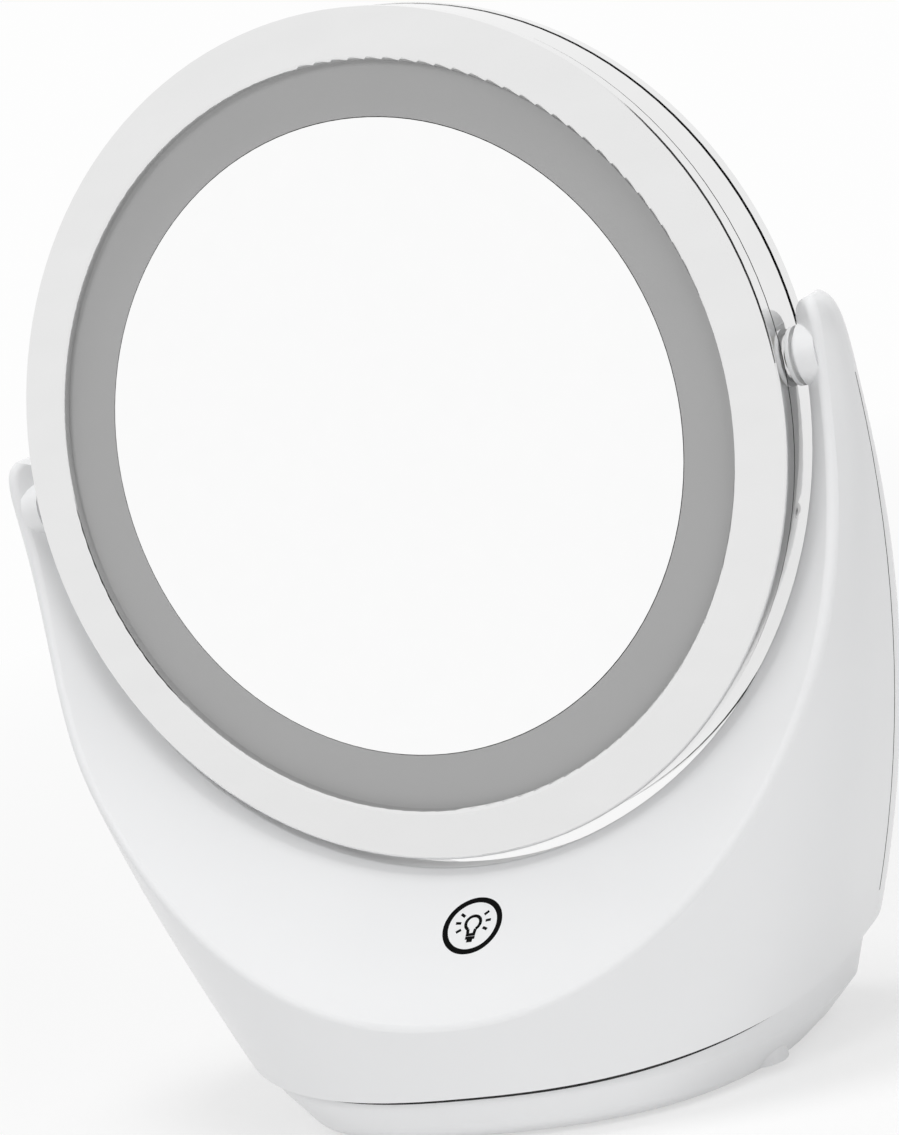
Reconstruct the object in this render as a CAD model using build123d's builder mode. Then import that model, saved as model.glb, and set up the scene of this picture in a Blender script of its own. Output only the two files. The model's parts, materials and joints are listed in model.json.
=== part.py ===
# Lighted vanity mirror: a double-sided round mirror with a frosted light band on each
# face, hung on two trunnions in a U-shaped base with batteries in its foot.
# Millimetres. +Z is up, the front faces -Y, and the origin is the centre of the footprint.
import os
from math import cos, pi, radians, sin, sqrt

from build123d import *

os.makedirs("parts", exist_ok=True)

# ---------------------------------------------------------------- driving dimensions
# the axle that the head turns on, and how the head stands on it at rest
AXLE_Y = 13.0
AXLE_Z = 156.0
HEAD_TILT = 6.0                 # degrees that the mirror looks up

# head
HEAD_R = 100.0                  # outer radius
HEAD_HALF = 12.5                # half of its depth
LIP_R = 87.8                    # inner edge of a bezel, where the light band starts
BAND_R = 74.8                   # outer radius of the clear mirror
LIP_DROP = 2.8                  # how far the glass lies behind the bezel's lip
BEZEL_FALL = 1.35               # how much lower a bezel's outer edge is than its lip
BEZEL_SKIRT = 4.4               # height of a bezel seen from the side
GROOVE = 0.9                    # shadow groove between a bezel and the rim
BEZEL_WALL = 1.8
GLASS = 3.0
OPAL = 2.4                      # thickness of the light band's plate
WEB = 1.6                       # carrier web in the middle of the head
MAGNIFIER_R = 620.0             # radius of curvature of the rear mirror
BOARD = 1.0
LED_SIZE = (2.8, 3.5, 1.2)
LED_COUNT = 24
LED_R = 84.0                    # radius of the ring that the lamps stand on
LED_BOARD_IN = 77.0
LED_BOARD_OUT = 91.5
LIP_WALL = 1.2
BEZEL_EDGE = 0.9
SPIGOT = 8.6                    # half height of the rim's inner wall
SPIGOT_IN = 96.0
SPIGOT_OUT = 98.0
RIM_R = 99.8
BAND_GAP = 0.2
BAND_OUT = 95.5
LEDGE_IN = 71.5
LEDGE_OUT = 76.6
WALL_IN = 92.5
CARRIER_R = 95.6
MAGNIFIER_ROOM = 0.5            # how much lower the ledge of the bowed rear mirror is
NOTCH_IN = 91.8
NOTCH_HALF = 7.2
NOTCH_DEEP = 7.2

# the room that the base leaves for the turning head
ROOM_R = 102.8
ROOM_TILT = 10.0                # degrees that the U leans back
FACET_START = 1.6               # where the front facet starts, in front of the axle
FACET_SLOPE = 1.0
REAR_START = 6.0
REAR_SLOPE = 4.0
ROOM_REACH = 170.0

# base shells
SHELL_WALL = 2.2
SIDE_R = 312.0                  # radius of the base's bowed sides, seen from the front
HALF_WIDTH = 113.0
OVAL_POWER = 2.5                # squareness of the base's plan
OVAL_POINTS = 32
CREASE_FILLET = 2.0             # rounding where the facets meet the outer wall
MOUTH_FILLET = 1.0              # rounding where the facets meet the head's room
SEAM_FRONT = 12.0               # height of the lower seam at the very front
SEAM_RISE = 11.0                # degrees that the seam climbs towards the back
# the base is full depth up to one height and slims to the arms above it
DEEP_FRONT = 55.5
DEEP_REAR = 32.0
ARM_DEPTH = 18.5
SLIM_FROM = 88.0
SLIM_TO = 158.0
FLARE = 3.0                     # how much further forward the front stands at the floor
FLARE_TOP = 50.0
PLAN_FOOT = 6.0
PLAN_STEP = 13.0
PLAN_COUNT = 12
# height and half width of the plan at the rounded arm tips
TIP = ((158.0, 113.0), (163.0, 112.6), (167.0, 111.2), (169.0, 109.0))
TIP_R = 5.6                     # rounding of the inner corner of an arm's tip
TIP_TOP = 169.0
TIP_X = 108.4

# foot
FOOT_PAD = 1.0                  # what the rubber feet stand proud of the tray
FOOT_R = 4.5
FOOT_SPOTS = ((38.0, -36.0), (46.0, 12.5))      # across and behind the axle, both sides
TRAY_GAP = 0.4
TRAY_WALL = 2.0
TRAY_OVERLAP = 4.0              # how far the tray reaches up inside the shells
TRAY_TAPER = 5.0                # how much the tray narrows to its underside
TRAY_FILLET = 4.0

TRAY_SHOULDER = 9.0
TRAY_HIGH = 45.0
TRAY_BOSS = 3.0
TRAY_BOSS_R = 5.0
TRAY_SCREW_REST = 3.6
FOOT_EDGE = 0.5

# battery bay and door
DOOR_HIGH = 21.0
DOOR_RIB = 0.5
DOOR_RIBS = 5
DOOR_RIB_PITCH = 3.0
DOOR_RIB_WIDTH = 1.0
DOOR_RIB_LENGTH = 22.0
BAY_LIFT = 0.3
BAY_FLANGE = 5.0
BAY_FLANGE_LENGTH = 30.0
SPRING_R = 4.2
SPRING_WIRE = 0.6
DOOR_HALF = 33.0
DOOR_FRONT = -21.0
DOOR_GAP = 0.3
CELL_R = 7.1
CELL_LENGTH = 49.0
CELL_FRONT = -15.0
CELL_PITCH = 14.9
CELL_Z = 10.9
CELL_NUB_R = 2.7
CELL_NUB = 1.0
BAY_HALF = 31.4
BAY_FRONT = -20.0
BAY_REAR = 37.4
BAY_TOP = 20.0
BAY_WALL = 1.4
CONTACT = 0.4

# screws and posts
POST_R = 3.6
SCREW_R = 1.3
SCREW_HEAD_R = 2.7
SCREW_HEAD = 2.0
SCREW_EDGE = 0.3
SLOT_WIDTH = 0.7
SLOT_LENGTH = 3.2
SLOT_DEPTH = 1.1
SCREW_ROOM = 0.3                # clearance round a screw head in its recess
TRAY_POSTS = ((60.0, -24.0), (54.0, 10.0))      # across and behind the axle, both sides
TRAY_SCREW = 16.0
SHELL_POSTS = ((99.8, 116.0), (42.0, 38.0))     # across and height, both sides
SHELL_SCREW = 14.0
SCREW_HEAD_REST = 6.0           # how far behind the parting face a shell screw's head rests

# trunnions, measured along the axle from the middle of the mirror
BOSS_R = 7.3                    # round boss on each arm that carries the axle
BOSS = (103.0, 107.8)
PIN_R = 4.0
PIN_FIT = 0.05
PIN_BORE_R = 1.5
PIN_END = 107.4
FLANGE_R = 6.6
FLANGE_IN = 93.6
FLANGE_OUT = 95.6
COLLARS = ((100.6, 101.6, 6.7), (101.6, 102.3, 5.4))     # from, to, radius
PAD_R = 5.6
BUSH = (102.9, 105.2)
BUSH_R = 6.0
WASHER = (105.2, 105.8)
CLIP = (106.1, 106.9)
CLIP_R = 5.4
CLIP_SEAT_R = 3.0
WASHER_ROOM = 0.3
COLLAR_EDGE = 0.4
POCKET_R = 6.2
BORE_OVERLAP = 0.1
POCKET_END = 108.2
LEAD_ROOM_R = 2.2               # room behind the pocket, where the lead turns down
LEAD_ROOM_END = 110.6
ARM_BLOCK_LOW = 12.0            # how far the solid end of an arm reaches below the axle
LEAD_R = 0.8
LEAD_X = 109.3                  # how far out the lead runs down through an arm's solid end
LEAD_CHANNEL_R = 1.3

# touch control behind the front facet
ICON_R = 114.9                  # distance of the touch spot from the axle, across the facet
TOUCH_R = 6.0
TOUCH_GAP = 0.5
BOARD_BACK = 6.0                # how far the control board lies behind the shell's inner face
BOARD_SIZE = (40.0, 20.0, 1.6)
BOARD_POST_X = 16.5
BOARD_POST_R = 2.4
BOARD_SCREW_R = 1.0
BOARD_SCREW_HEAD = 1.2
BOARD_CORNER = 1.5
TOUCH_STEM_R = 1.5
# parts on the control board: across, along, width, length, height
BOARD_PARTS = (
    (7.0, 3.0, 6.0, 5.0, 4.0),
    (-2.0, 3.5, 5.0, 4.0, 1.6),
    (-9.0, -4.0, 6.0, 6.0, 3.0),
    (2.0, -6.0, 6.0, 4.0, 4.0),
)

# the leads: the lamp lead is given from the middle of the axle, the head's lead in the
# head's own plane, and the battery lead in the frame of the whole part
LAMP_ROUTE = (
    (104.4, 0, 0), (109.4, 0, 0), (108.6, 0.5, -15), (106.6, 2, -36), (100.6, 3, -60),
    (84, 3, -84), (62, 1, -103), (40, -6, -107), (27, -20, -116), (12.5, -25.5, -122.6),
)
LAMP_RADII = [1.9, 60, 40, 40, 40, 40, 26, 20]
HEAD_ROUTE = ((103.0, 0, 0), (92.7, 0, 0), (92.7, 0, 3.0), (88.0, 0, 3.0))
HEAD_ROUTE_RADII = [1.0, 1.0]
BATTERY_ROUTE = ((10, -20.4, 12), (10, -26, 12), (8, -30, 22), (5, -21, 31))
BATTERY_RADII = [3.0, 6.0]

AXLE = Vector(0, AXLE_Y, AXLE_Z)
FACING = Vector(0, -cos(radians(HEAD_TILT)), sin(radians(HEAD_TILT)))
HEAD_PLANE = Plane(origin=AXLE, x_dir=(1, 0, 0), z_dir=FACING)
HEAD_SECTION = Plane(origin=AXLE, x_dir=(1, 0, 0), z_dir=Vector(1, 0, 0).cross(FACING))
HEAD_AXIS = Axis(AXLE, FACING)
LEAN = Vector(0, -cos(radians(ROOM_TILT)), sin(radians(ROOM_TILT)))
ROOM_SECTION = Plane(origin=AXLE, x_dir=(1, 0, 0), z_dir=Vector(1, 0, 0).cross(LEAN))
ROOM_AXIS = Axis(AXLE, LEAN)


def save(part, name):
    """Label one finished sub-part and write its STEP file."""
    part.label = name
    export_step(part, f"parts/{name}.step")


def half_width(height):
    """Half the base's width at a height: its sides are bowed with one large radius."""
    return HALF_WIDTH - SIDE_R + sqrt(SIDE_R**2 - (AXLE_Z - height) ** 2)


def depth(height, deep):
    """Depth of the base before or behind the axle plane, easing from deep to the arms."""
    way = min(max((height - SLIM_FROM) / (SLIM_TO - SLIM_FROM), 0), 1)
    return deep - (deep - ARM_DEPTH) * (1 - cos(pi * way)) / 2


def oval(height, width, inset):
    """Sketch the base's plan at one height: a squarish oval, deeper in front than behind."""
    flare = FLARE * max((FLARE_TOP - height) / FLARE_TOP, 0) ** 2
    half = width - inset
    front = depth(height, DEEP_FRONT) + flare - inset
    rear = depth(height, DEEP_REAR) - inset
    points = []
    for i in range(OVAL_POINTS):
        turn = radians(360 * i / OVAL_POINTS)
        across = abs(cos(turn)) ** (2 / OVAL_POWER)
        along = abs(sin(turn)) ** (2 / OVAL_POWER)
        points.append((across * (half if cos(turn) > 0 else -half),
                       along * (rear if sin(turn) > 0 else -front)))
    with BuildSketch(Plane(origin=(0, AXLE_Y, height))) as plan:
        with BuildLine():
            Spline(*points, periodic=True)
        make_face()
    return plan.sketch


def oval_body(inset):
    """The base as one block before the head's room is cut, each wall moved in by inset."""
    plans = []
    for i in range(PLAN_COUNT):
        height = PLAN_FOOT + PLAN_STEP * i
        plans.append(oval(height, half_width(height), inset))
    for height, width in TIP:
        plans.append(oval(height, width, inset))
    with BuildPart() as block:
        loft(plans)
    return block.part


def room(wall):
    """Turned room for the head, with the sloping facets in front and behind.
    wall moves its faces that far into the base."""
    radius = ROOM_R + wall
    front = FACET_START + wall * (FACET_SLOPE - sqrt(1 + FACET_SLOPE**2))
    rear = -REAR_START - wall * (REAR_SLOPE - sqrt(1 + REAR_SLOPE**2))
    with BuildPart() as turned:
        with BuildSketch(ROOM_SECTION):
            with BuildLine():
                Polyline(
                    (0, ROOM_REACH),
                    (radius + (ROOM_REACH - front) / FACET_SLOPE, ROOM_REACH),
                    (radius, front),
                    (radius, rear),
                    (radius + (ROOM_REACH + rear) / REAR_SLOPE, -ROOM_REACH),
                    (0, -ROOM_REACH),
                    close=True,
                )
            make_face()
        revolve(axis=ROOM_AXIS)
    return turned.part


def seam_block(raise_by):
    """Everything above the lower seam of the shells, moved up by raise_by."""
    front = AXLE_Y - DEEP_FRONT - FLARE
    plane = Plane(origin=(0, front, SEAM_FRONT + raise_by)).rotated((SEAM_RISE, 0, 0))
    with BuildPart() as block:
        with BuildSketch(plane):
            with Locations((0, 50)):
                Rectangle(400, 300)
        extrude(amount=300)
    return block.part


def tube_along(points, radii, radius):
    """A round lead through the points, with tangent arcs at its corners."""
    with BuildPart() as lead:
        with BuildLine() as path:
            FilletPolyline(*points, radius=radii)
        with BuildSketch(Plane(origin=path.line @ 0, z_dir=path.line % 0)):
            Circle(radius)
        sweep()
    return lead.part


def from_axle(across, back, up):
    """A point given from the middle of the axle."""
    return Vector(across, AXLE_Y + back, AXLE_Z + up)


def cylinder_along_axle(start, end, radius, side=1):
    """A cylinder on the axle between two distances from the middle of the mirror,
    to the right (side 1) or to the left (side -1)."""
    with BuildPart() as rod:
        with BuildSketch(Plane(origin=from_axle(side * start, 0, 0), z_dir=(side, 0, 0))):
            Circle(radius)
        extrude(amount=end - start)
    return rod.part


def post(plane, start, end, radius):
    """A round post or hole that stands on a plane, from start to end above it."""
    with BuildPart() as rod:
        with BuildSketch(plane.offset(start)):
            Circle(radius)
        extrude(amount=end - start)
    return rod.part


def screw(plane, length):
    """A pan-head screw whose head rests on the plane and whose shank goes along its normal."""
    with BuildPart() as fastener:
        with BuildSketch(plane):
            Circle(SCREW_HEAD_R)
        extrude(amount=-SCREW_HEAD)
        fillet(fastener.edges(), SCREW_EDGE)
        with BuildSketch(plane):
            Circle(SCREW_R)
        extrude(amount=length)
        with BuildSketch(plane.offset(-SCREW_HEAD)):
            Rectangle(SLOT_WIDTH, SLOT_LENGTH)
            Rectangle(SLOT_LENGTH, SLOT_WIDTH)
        extrude(amount=SLOT_DEPTH, mode=Mode.SUBTRACT)
    return fastener.part


# ---------------------------------------------------------------- the base's shells
with BuildPart() as base_block:
    add(oval_body(0))
    add(room(0), mode=Mode.SUBTRACT)
    facets = base_block.faces().filter_by(GeomType.CONE)
    creases = facets.edges().filter_by(GeomType.BSPLINE).filter_by(lambda e: e.length > HEAD_R)
    fillet(creases, CREASE_FILLET)
    mouths = base_block.faces().filter_by(GeomType.CONE).edges().filter_by(GeomType.CIRCLE)
    fillet(mouths.filter_by(lambda e: e.length > HEAD_R), MOUTH_FILLET)
    # the inner corner of each arm's tip is rounded to match its outer one
    with BuildSketch(Plane.XZ.offset(-AXLE_Y - DEEP_REAR)):
        for side in (-1, 1):
            with Locations((side * (TIP_X - TIP_R), TIP_TOP)):
                Rectangle(2 * TIP_R, 2 * TIP_R)
            with Locations((side * TIP_X, TIP_TOP - TIP_R)):
                Circle(TIP_R, mode=Mode.SUBTRACT)
            with Locations((side * TIP_X, TIP_TOP - 2 * TIP_R)):
                Rectangle(2 * TIP_R, 2 * TIP_R, mode=Mode.SUBTRACT)
    extrude(amount=2 * (DEEP_FRONT + DEEP_REAR), mode=Mode.SUBTRACT)
    # the bosses stand out of the front facet, which would lay the axle bare
    for side in (-1, 1):
        add(cylinder_along_axle(BOSS[0], BOSS[1], BOSS_R, side))


with BuildPart() as cavity:
    add(oval_body(SHELL_WALL))
    add(room(SHELL_WALL), mode=Mode.SUBTRACT)
    # the arms are solid round the axle, where they hold the bushes
    with BuildSketch(Plane.XY.offset(AXLE_Z - ARM_BLOCK_LOW)):
        Rectangle(3 * HEAD_R, 3 * HEAD_R)
    extrude(amount=HEAD_R, mode=Mode.SUBTRACT)

# everything that is bored in the solid ends of the arms
with BuildPart() as arm_bores:
    for side in (-1, 1):
        add(cylinder_along_axle(HEAD_R, WASHER[1], BUSH_R, side))
        add(cylinder_along_axle(WASHER[1] - BORE_OVERLAP, POCKET_END, POCKET_R, side))
        add(cylinder_along_axle(POCKET_END - BORE_OVERLAP, LEAD_ROOM_END, LEAD_ROOM_R, side))
    add(post(Plane(origin=from_axle(LEAD_X, 0, 0)), -2 * ARM_BLOCK_LOW, 0, LEAD_CHANNEL_R))

SHELL_POST_SPOTS = [(side * x, z) for x, z in SHELL_POSTS for side in (-1, 1)]
TRAY_POST_SPOTS = [(side * x, y) for x, y in TRAY_POSTS for side in (-1, 1)]
ICON_FALL = radians(45 + ROOM_TILT)
ICON_PLANE = Plane(
    origin=from_axle(0, 0, 0)
    - Vector(0, sin(radians(ROOM_TILT)), cos(radians(ROOM_TILT))) * ICON_R
    + LEAN * (FACET_START + FACET_SLOPE * (ICON_R - ROOM_R)),
    x_dir=(1, 0, 0),
    z_dir=(0, -cos(ICON_FALL), sin(ICON_FALL)),
)
BOARD_TOP = ICON_PLANE.offset(-SHELL_WALL - BOARD_BACK)
TRAY_POST_FOOT = FOOT_PAD + TRAY_WALL + TRAY_BOSS


def shell_posts(sign):
    """Posts along Y between the parting face and one shell's wall."""
    with BuildPart() as posts:
        with BuildSketch(Plane.XZ.offset(-AXLE_Y)):
            with Locations(*SHELL_POST_SPOTS):
                Circle(POST_R)
        extrude(amount=sign * 2 * DEEP_FRONT)
        add(base_block.part, mode=Mode.INTERSECT)
    return posts.part


def tray_posts(spots):
    """Upright posts between the tray and the shell's ceiling."""
    with BuildPart() as posts:
        with BuildSketch(Plane(origin=(0, AXLE_Y, TRAY_POST_FOOT))):
            with Locations(*spots):
                Circle(POST_R)
        extrude(amount=AXLE_Z)
        add(base_block.part, mode=Mode.INTERSECT)
    return posts.part


with BuildPart() as front_shell:
    add(base_block.part)
    add(cavity.part, mode=Mode.SUBTRACT)
    add(shell_posts(1))
    add(tray_posts([spot for spot in TRAY_POST_SPOTS if spot[1] < 0]))
    for x in (-BOARD_POST_X, BOARD_POST_X):
        stand = Plane(origin=BOARD_TOP.from_local_coords((x, 0, 0)), z_dir=ICON_PLANE.z_dir)
        add(post(stand, 0, BOARD_BACK + SHELL_WALL / 2, BOARD_POST_R))
        add(post(stand, 0, BOARD_BACK, BOARD_SCREW_R), mode=Mode.SUBTRACT)
    split(bisect_by=Plane.XZ.offset(-AXLE_Y), keep=Keep.TOP)
    add(arm_bores.part, mode=Mode.SUBTRACT)
    add(seam_block(0), mode=Mode.INTERSECT)
    with BuildSketch(Plane.XZ.offset(-AXLE_Y)):
        with Locations(*SHELL_POST_SPOTS):
            Circle(SCREW_R)
    extrude(amount=SHELL_SCREW - SCREW_HEAD_REST + SCREW_ROOM, mode=Mode.SUBTRACT)
    with BuildSketch(Plane(origin=(0, AXLE_Y, TRAY_POST_FOOT))):
        with Locations(*TRAY_POST_SPOTS):
            Circle(SCREW_R)
    extrude(amount=TRAY_SCREW, mode=Mode.SUBTRACT)
save(front_shell.part, "front_shell")

with BuildPart() as rear_shell:
    add(base_block.part)
    add(cavity.part, mode=Mode.SUBTRACT)
    add(shell_posts(-1))
    add(tray_posts([spot for spot in TRAY_POST_SPOTS if spot[1] > 0]))
    split(bisect_by=Plane.XZ.offset(-AXLE_Y), keep=Keep.BOTTOM)
    add(arm_bores.part, mode=Mode.SUBTRACT)
    add(seam_block(0), mode=Mode.INTERSECT)
    # holes for the shell screws, and the recesses that their heads sit in
    with BuildSketch(Plane.XZ.offset(-AXLE_Y)):
        with Locations(*SHELL_POST_SPOTS):
            Circle(SCREW_R)
    extrude(amount=-SCREW_HEAD_REST, mode=Mode.SUBTRACT)
    with BuildSketch(Plane.XZ.offset(-AXLE_Y - SCREW_HEAD_REST)):
        with Locations(*SHELL_POST_SPOTS):
            Circle(SCREW_HEAD_R + SCREW_ROOM)
    extrude(amount=-DEEP_REAR, mode=Mode.SUBTRACT)
    with BuildSketch(Plane(origin=(0, AXLE_Y, TRAY_POST_FOOT))):
        with Locations(*TRAY_POST_SPOTS):
            Circle(SCREW_R)
    extrude(amount=TRAY_SCREW, mode=Mode.SUBTRACT)
save(rear_shell.part, "rear_shell")

# ---------------------------------------------------------------- tray, door and feet
def tray_block(inset):
    """The foot of the base: the shells' plan moved inward, narrowing to its underside."""
    inward = SHELL_WALL + TRAY_GAP + inset
    low = FOOT_PAD + (inset if inset else 0)
    with BuildPart() as block:
        loft([
            oval(low, half_width(low) - TRAY_TAPER, inward),
            oval(low + TRAY_SHOULDER, half_width(low + TRAY_SHOULDER), inward),
            oval(TRAY_HIGH, half_width(TRAY_HIGH), inward),
        ], ruled=True)
        if not inset:
            fillet(block.edges().group_by(Axis.Z)[0], TRAY_FILLET)
    return block.part


def door_cut(gap):
    """The part of the tray that comes away as the battery door, less a gap all round."""
    with BuildPart() as cut:
        with BuildSketch(Plane.XY):
            with Locations((0, DOOR_FRONT + gap)):
                Rectangle(2 * (DOOR_HALF - gap), 2 * HEAD_R, align=(Align.CENTER, Align.MIN))
        extrude(amount=DOOR_HIGH - gap)
    return cut.part


with BuildPart() as tray_cup:
    add(tray_block(0))
    add(tray_block(TRAY_WALL), mode=Mode.SUBTRACT)
    add(seam_block(TRAY_OVERLAP), mode=Mode.SUBTRACT)

with BuildPart() as base_tray:
    add(tray_cup.part)
    with BuildSketch(Plane(origin=(0, AXLE_Y, FOOT_PAD + TRAY_WALL / 2))):
        with Locations(*TRAY_POST_SPOTS):
            Circle(TRAY_BOSS_R)
    extrude(amount=TRAY_WALL / 2 + TRAY_BOSS)
    with BuildSketch(Plane(origin=(0, AXLE_Y, 0))):
        with Locations(*TRAY_POST_SPOTS):
            Circle(SCREW_HEAD_R + SCREW_ROOM)
    extrude(amount=TRAY_SCREW_REST, mode=Mode.SUBTRACT)
    with BuildSketch(Plane(origin=(0, AXLE_Y, 0))):
        with Locations(*TRAY_POST_SPOTS):
            Circle(SCREW_R)
    extrude(amount=TRAY_POST_FOOT, mode=Mode.SUBTRACT)
    with BuildSketch(Plane(origin=(0, AXLE_Y, 0))):
        with Locations(*[(side * x, y) for x, y in FOOT_SPOTS for side in (-1, 1)]):
            Circle(FOOT_R)
    extrude(amount=2 * FOOT_PAD, mode=Mode.SUBTRACT)
    add(door_cut(0), mode=Mode.SUBTRACT)
save(base_tray.part, "base_tray")

with BuildPart() as battery_door:
    add(tray_cup.part)
    add(door_cut(DOOR_GAP), mode=Mode.INTERSECT)
    # ribs that the thumb pushes against
    with BuildSketch(Plane.XY.offset(FOOT_PAD - DOOR_RIB)):
        with GridLocations(0, DOOR_RIB_PITCH, 1, DOOR_RIBS):
            SlotOverall(DOOR_RIB_LENGTH, DOOR_RIB_WIDTH)
    extrude(amount=DOOR_RIB + TRAY_WALL / 2)
save(battery_door.part, "battery_door")

with BuildPart() as rubber_feet:
    with BuildSketch(Plane(origin=(0, AXLE_Y, 0))):
        with Locations(*[(side * x, y) for x, y in FOOT_SPOTS for side in (-1, 1)]):
            Circle(FOOT_R)
    extrude(amount=2 * FOOT_PAD)
    fillet(rubber_feet.edges().group_by(Axis.Z)[0], FOOT_EDGE)
save(rubber_feet.part, "rubber_feet")

with BuildPart() as tray_screws:
    for x, y in TRAY_POST_SPOTS:
        add(screw(Plane(origin=(x, AXLE_Y + y, TRAY_SCREW_REST)), TRAY_SCREW - 2))
save(tray_screws.part, "tray_screws")

with BuildPart() as shell_screws:
    for x, z in SHELL_POST_SPOTS:
        rest = Plane(origin=(x, AXLE_Y + SCREW_HEAD_REST, z), z_dir=(0, -1, 0))
        add(screw(rest, SHELL_SCREW))
save(shell_screws.part, "shell_screws")

# ---------------------------------------------------------------- batteries
CELL_SPOTS = [CELL_PITCH * (i - 1.5) for i in range(4)]

with BuildPart() as aa_cells:
    for i, x in enumerate(CELL_SPOTS):
        facing = 1 if i % 2 else -1
        middle = CELL_FRONT + CELL_LENGTH / 2
        end = Plane(origin=(x, middle - facing * CELL_LENGTH / 2, CELL_Z), z_dir=(0, facing, 0))
        add(post(end, 0, CELL_LENGTH - CELL_NUB, CELL_R))
        add(post(end, CELL_LENGTH - CELL_NUB, CELL_LENGTH, CELL_NUB_R))
save(aa_cells.part, "aa_cells")

with BuildPart() as battery_bay:
    with BuildSketch(Plane.XY.offset(FOOT_PAD + TRAY_WALL + BAY_LIFT)):
        with Locations((0, BAY_FRONT)):
            Rectangle(2 * BAY_HALF, BAY_REAR - BAY_FRONT, align=(Align.CENTER, Align.MIN))
    extrude(amount=BAY_TOP - FOOT_PAD - TRAY_WALL - BAY_LIFT)
    with BuildSketch(Plane.XY):
        with Locations((0, BAY_FRONT + BAY_WALL)):
            Rectangle(2 * (BAY_HALF - BAY_WALL), BAY_REAR - BAY_FRONT - 2 * BAY_WALL,
                      align=(Align.CENTER, Align.MIN))
    extrude(amount=BAY_TOP - BAY_WALL, mode=Mode.SUBTRACT)
    # side flanges that rest on the tray beside the door
    with BuildSketch(Plane.XY.offset(FOOT_PAD + TRAY_WALL)):
        for side in (-1, 1):
            with Locations((side * (BAY_HALF + BAY_FLANGE / 2), 0)):
                Rectangle(BAY_FLANGE, BAY_FLANGE_LENGTH)
    extrude(amount=BAY_WALL)
save(battery_bay.part, "battery_bay")

with BuildPart() as contact_springs:
    for i, x in enumerate(CELL_SPOTS):
        facing = 1 if i % 2 else -1
        wall = BAY_FRONT + BAY_WALL if facing > 0 else BAY_REAR - BAY_WALL
        spring = Plane(origin=(x, wall, CELL_Z), z_dir=(0, facing, 0))
        reach = CELL_FRONT - BAY_FRONT - BAY_WALL
        if facing < 0:
            reach = BAY_REAR - BAY_WALL - CELL_FRONT - CELL_LENGTH
        with BuildSketch(spring):
            Circle(SPRING_R)
            Circle(SPRING_R - SPRING_WIRE, mode=Mode.SUBTRACT)
        extrude(amount=reach - CONTACT)
        with BuildSketch(spring.offset(reach - CONTACT)):
            Circle(SPRING_R)
        extrude(amount=CONTACT)
save(contact_springs.part, "contact_springs")

# ---------------------------------------------------------------- touch control
with BuildPart() as touch_pad:
    add(post(ICON_PLANE, -SHELL_WALL - TOUCH_GAP - CONTACT, -SHELL_WALL - TOUCH_GAP, TOUCH_R))
    add(post(BOARD_TOP, 0, BOARD_BACK - TOUCH_GAP - CONTACT, TOUCH_STEM_R))
save(touch_pad.part, "touch_pad")

with BuildPart() as control_board:
    with BuildSketch(BOARD_TOP.offset(-BOARD_SIZE[2])):
        RectangleRounded(BOARD_SIZE[0], BOARD_SIZE[1], BOARD_CORNER)
        with Locations((-BOARD_POST_X, 0), (BOARD_POST_X, 0)):
            Circle(BOARD_SCREW_R, mode=Mode.SUBTRACT)
    extrude(amount=BOARD_SIZE[2])
save(control_board.part, "control_board")

BOARD_UNDER = Plane(
    origin=BOARD_TOP.offset(-BOARD_SIZE[2]).origin, x_dir=(1, 0, 0), z_dir=-ICON_PLANE.z_dir
)

with BuildPart() as board_parts:
    for x, y, width, length, height in BOARD_PARTS:
        with BuildSketch(BOARD_UNDER):
            with Locations((x, y)):
                Rectangle(width, length)
        extrude(amount=height)
save(board_parts.part, "board_parts")

with BuildPart() as board_screws:
    for x in (-BOARD_POST_X, BOARD_POST_X):
        head = Plane(origin=BOARD_UNDER.from_local_coords((x, 0, 0)), z_dir=BOARD_UNDER.z_dir)
        add(post(head, 0, BOARD_SCREW_HEAD, 2 * BOARD_SCREW_R))
        add(post(head, -BOARD_SIZE[2] - BOARD_BACK, 0, BOARD_SCREW_R))
save(board_screws.part, "board_screws")

# ---------------------------------------------------------------- trunnions in the arms
with BuildPart() as right_bush:
    add(cylinder_along_axle(BUSH[0], BUSH[1], BUSH_R))
    add(cylinder_along_axle(BUSH[0], BUSH[1], PIN_R + PIN_FIT), mode=Mode.SUBTRACT)
save(right_bush.part, "right_bush")

with BuildPart() as right_washer:
    add(cylinder_along_axle(WASHER[0], WASHER[1], BUSH_R))
    add(cylinder_along_axle(WASHER[0], WASHER[1], PIN_R + WASHER_ROOM), mode=Mode.SUBTRACT)
save(right_washer.part, "right_washer")

with BuildPart() as right_clip:
    add(cylinder_along_axle(CLIP[0], CLIP[1], CLIP_R))
    add(cylinder_along_axle(CLIP[0], CLIP[1], CLIP_SEAT_R), mode=Mode.SUBTRACT)
    with BuildSketch(Plane(origin=from_axle(CLIP[0], 0, 0), z_dir=(1, 0, 0))):
        with Locations((0, CLIP_R)):
            Rectangle(CLIP_R, 2 * CLIP_R)
    extrude(amount=CLIP[1] - CLIP[0], mode=Mode.SUBTRACT)
save(right_clip.part, "right_clip")

with BuildPart() as right_trunnion:
    add(cylinder_along_axle(FLANGE_IN, FLANGE_OUT, FLANGE_R))
    add(cylinder_along_axle(FLANGE_OUT, PIN_END, PIN_R))
    for start, end, radius in COLLARS:
        add(cylinder_along_axle(start, end, radius))
    add(cylinder_along_axle(CLIP[0], CLIP[1], PIN_R + 1), mode=Mode.SUBTRACT)
    add(cylinder_along_axle(CLIP[0], CLIP[1], CLIP_SEAT_R))
    fillet(right_trunnion.edges().group_by(Axis.X)[-1], COLLAR_EDGE)
    add(cylinder_along_axle(FLANGE_IN, PIN_END, PIN_BORE_R), mode=Mode.SUBTRACT)
save(right_trunnion.part, "right_trunnion")

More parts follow.
